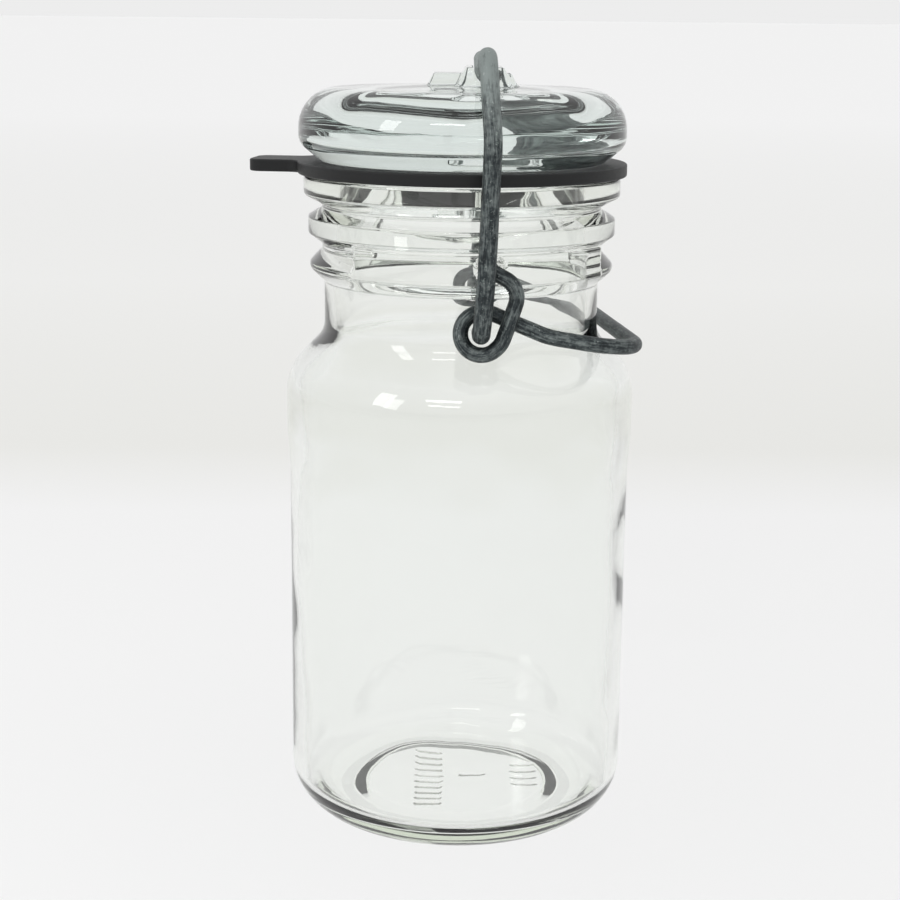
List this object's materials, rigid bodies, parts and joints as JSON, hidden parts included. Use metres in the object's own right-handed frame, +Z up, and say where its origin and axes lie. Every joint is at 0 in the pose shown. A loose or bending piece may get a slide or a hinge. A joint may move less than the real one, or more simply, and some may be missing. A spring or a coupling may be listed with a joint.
{
  "type": "wire-bail preserving jar",
  "caption": "Glass jar with a domed glass lid, a rubber sealing ring and a wire bail clamp that pivots in dimples in the neck.",
  "frame": {"origin": "on the jar's axis, on the plane that the foot ring rests on", "axes": "+Z up along the jar's axis; the clamp's pivots lie on a line along Y, 6 mm from the axis; +X towards the lever's handle"},
  "size_m": [0.0898, 0.0876, 0.1819],
  "materials": {
    "jar_glass": "pressed, faint green",
    "lid_glass": "pressed, faint green",
    "black_rubber": "moulded, satin",
    "bail_steel": "weathered zinc-coated wire",
    "lever_steel": "weathered zinc-coated wire"
  },
  "bodies": {
    "jar": {"jar_body": "jar_glass", "gasket": "black_rubber", "lid": "lid_glass"},
    "lever": {"lever_wire": "lever_steel"},
    "bail": {"bail_wire": "bail_steel"}
  },
  "joints": [
    {"name": "lever_hinge", "type": "hinge", "parent": "jar", "child": "lever", "pos_m": [0.006, 0, 0.1353], "axis": [0, -1, 0], "range_deg": [0, 42]},
    {"name": "bail_hinge", "type": "hinge", "parent": "lever", "child": "bail", "pos_m": [0.0041, 0, 0.1216], "axis": [0, -1, 0], "range_deg": [-32, 0]}
  ],
  "couplings": [
    {"joint": "bail_hinge", "follows": "lever_hinge", "ratio": -0.7462}
  ]
}
